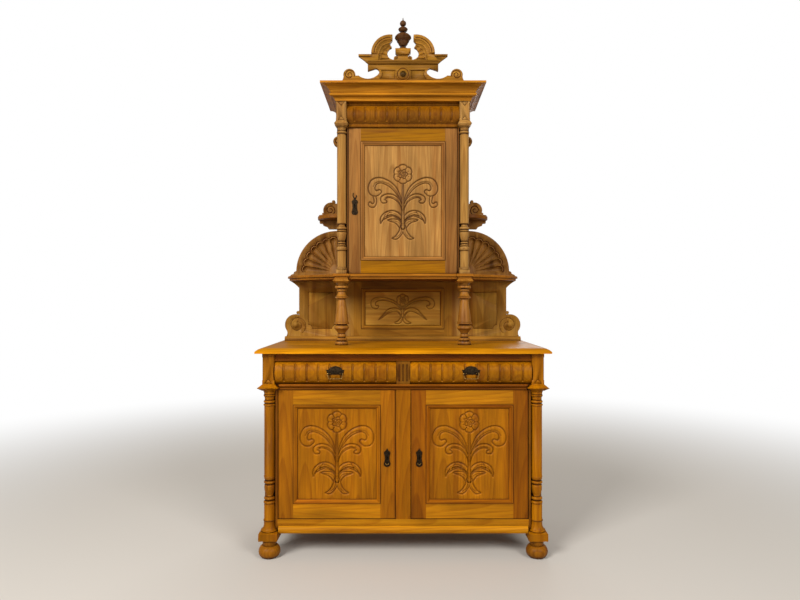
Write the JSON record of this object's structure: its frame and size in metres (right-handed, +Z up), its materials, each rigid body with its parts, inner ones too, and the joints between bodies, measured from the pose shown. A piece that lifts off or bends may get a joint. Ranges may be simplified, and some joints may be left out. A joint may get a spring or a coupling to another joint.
{
  "type": "buffet cabinet",
  "caption": "Waxed pine buffet cabinet: base with doors and drawers between turned legs, and a columned top section with a door, open niche, shell-carved wings and a crest.",
  "frame": {"origin": "on the floor under the middle of the top board", "axes": "+Z up, the doors and drawers face -Y, +X to the right seen from the front"},
  "size_m": [1.2, 0.52, 2.267],
  "materials": {
    "pine": "waxed",
    "pine_panel": "waxed",
    "walnut": "waxed",
    "bronze": "dark patina",
    "brass": "aged",
    "iron": "bare"
  },
  "bodies": {
    "cabinet": {"back_base_moulding": "pine", "baluster_left": "pine", "baluster_right": "pine", "base_back": "pine", "base_floor": "pine", "base_shelf": "pine", "base_side_left": "pine", "base_side_right": "pine", "base_top_board": "pine", "bottom_rail": "pine", "bun_feet": "pine", "centre_stile": "pine", "cornice": "pine", "crest_board": "pine", "drawer_bearer": "pine", "finial": "walnut", "frieze_rail": "pine", "front_post_left": "pine", "front_post_right": "pine", "lower_wing_left": "pine", "lower_wing_right": "pine", "middle_shelf": "pine", "niche_frame": "pine", "niche_panel": "pine_panel", "pivot_pins": "iron", "rear_feet": "pine", "shell_wing_left": "pine", "shell_wing_right": "pine", "side_shelves": "pine", "upper_back": "pine", "upper_column_left": "pine", "upper_column_right": "pine", "upper_frieze": "pine", "upper_shelf": "pine", "upper_side_left": "pine", "upper_side_right": "pine", "waist_moulding": "pine"},
    "drawer_left": {"drawer_front_left": "pine", "drawer_box_left": "pine", "pull_plate_left": "bronze"},
    "bail_left": {"pull_bail_left": "brass"},
    "lower_door_left": {"lower_door_frame_left": "pine", "lower_door_panel_left": "pine_panel", "lower_escutcheon_left": "bronze", "lower_lock_case_left": "iron"},
    "lower_bolt_left": {"lower_lock_bolt_left": "iron"},
    "drawer_right": {"drawer_front_right": "pine", "drawer_box_right": "pine", "pull_plate_right": "bronze"},
    "bail_right": {"pull_bail_right": "brass"},
    "lower_door_right": {"lower_door_frame_right": "pine", "lower_door_panel_right": "pine_panel", "lower_escutcheon_right": "bronze", "lower_lock_case_right": "iron"},
    "lower_bolt_right": {"lower_lock_bolt_right": "iron"},
    "upper_door": {"upper_door_frame": "pine", "upper_door_panel": "pine_panel", "upper_escutcheon": "bronze", "upper_lock_case": "iron"},
    "upper_bolt": {"upper_lock_bolt": "iron"}
  },
  "joints": [
    {"name": "drawer_right_slide", "type": "slide", "parent": "cabinet", "child": "drawer_right", "axis": [0, -1, 0], "range_m": [0, 0.3]},
    {"name": "bail_right_swing", "type": "hinge", "parent": "drawer_right", "child": "bail_right", "pos_m": [0.2765, -0.241, 0.757], "axis": [-1, 0, 0], "range_deg": [0, 90]},
    {"name": "lower_door_right_swing", "type": "hinge", "parent": "cabinet", "child": "lower_door_right", "pos_m": [0.507, -0.203, 0.156], "axis": [0, 0, 1], "range_deg": [0, 95]},
    {"name": "lower_bolt_right_throw", "type": "slide", "parent": "lower_door_right", "child": "lower_bolt_right", "axis": [-1, 0, 0], "range_m": [0, 0.0075]},
    {"name": "drawer_left_slide", "type": "slide", "parent": "cabinet", "child": "drawer_left", "axis": [0, -1, 0], "range_m": [0, 0.3]},
    {"name": "bail_left_swing", "type": "hinge", "parent": "drawer_left", "child": "bail_left", "pos_m": [-0.2765, -0.241, 0.757], "axis": [-1, 0, 0], "range_deg": [0, 90]},
    {"name": "lower_door_left_swing", "type": "hinge", "parent": "cabinet", "child": "lower_door_left", "pos_m": [-0.507, -0.203, 0.156], "axis": [0, 0, -1], "range_deg": [0, 95]},
    {"name": "lower_bolt_left_throw", "type": "slide", "parent": "lower_door_left", "child": "lower_bolt_left", "axis": [1, 0, 0], "range_m": [0, 0.0075]},
    {"name": "upper_door_swing", "type": "hinge", "parent": "cabinet", "child": "upper_door", "pos_m": [0.229, -0.053, 1.17], "axis": [0, 0, 1], "range_deg": [0, 95]},
    {"name": "upper_bolt_throw", "type": "slide", "parent": "upper_door", "child": "upper_bolt", "axis": [-1, 0, 0], "range_m": [0, 0.0075]}
  ]
}
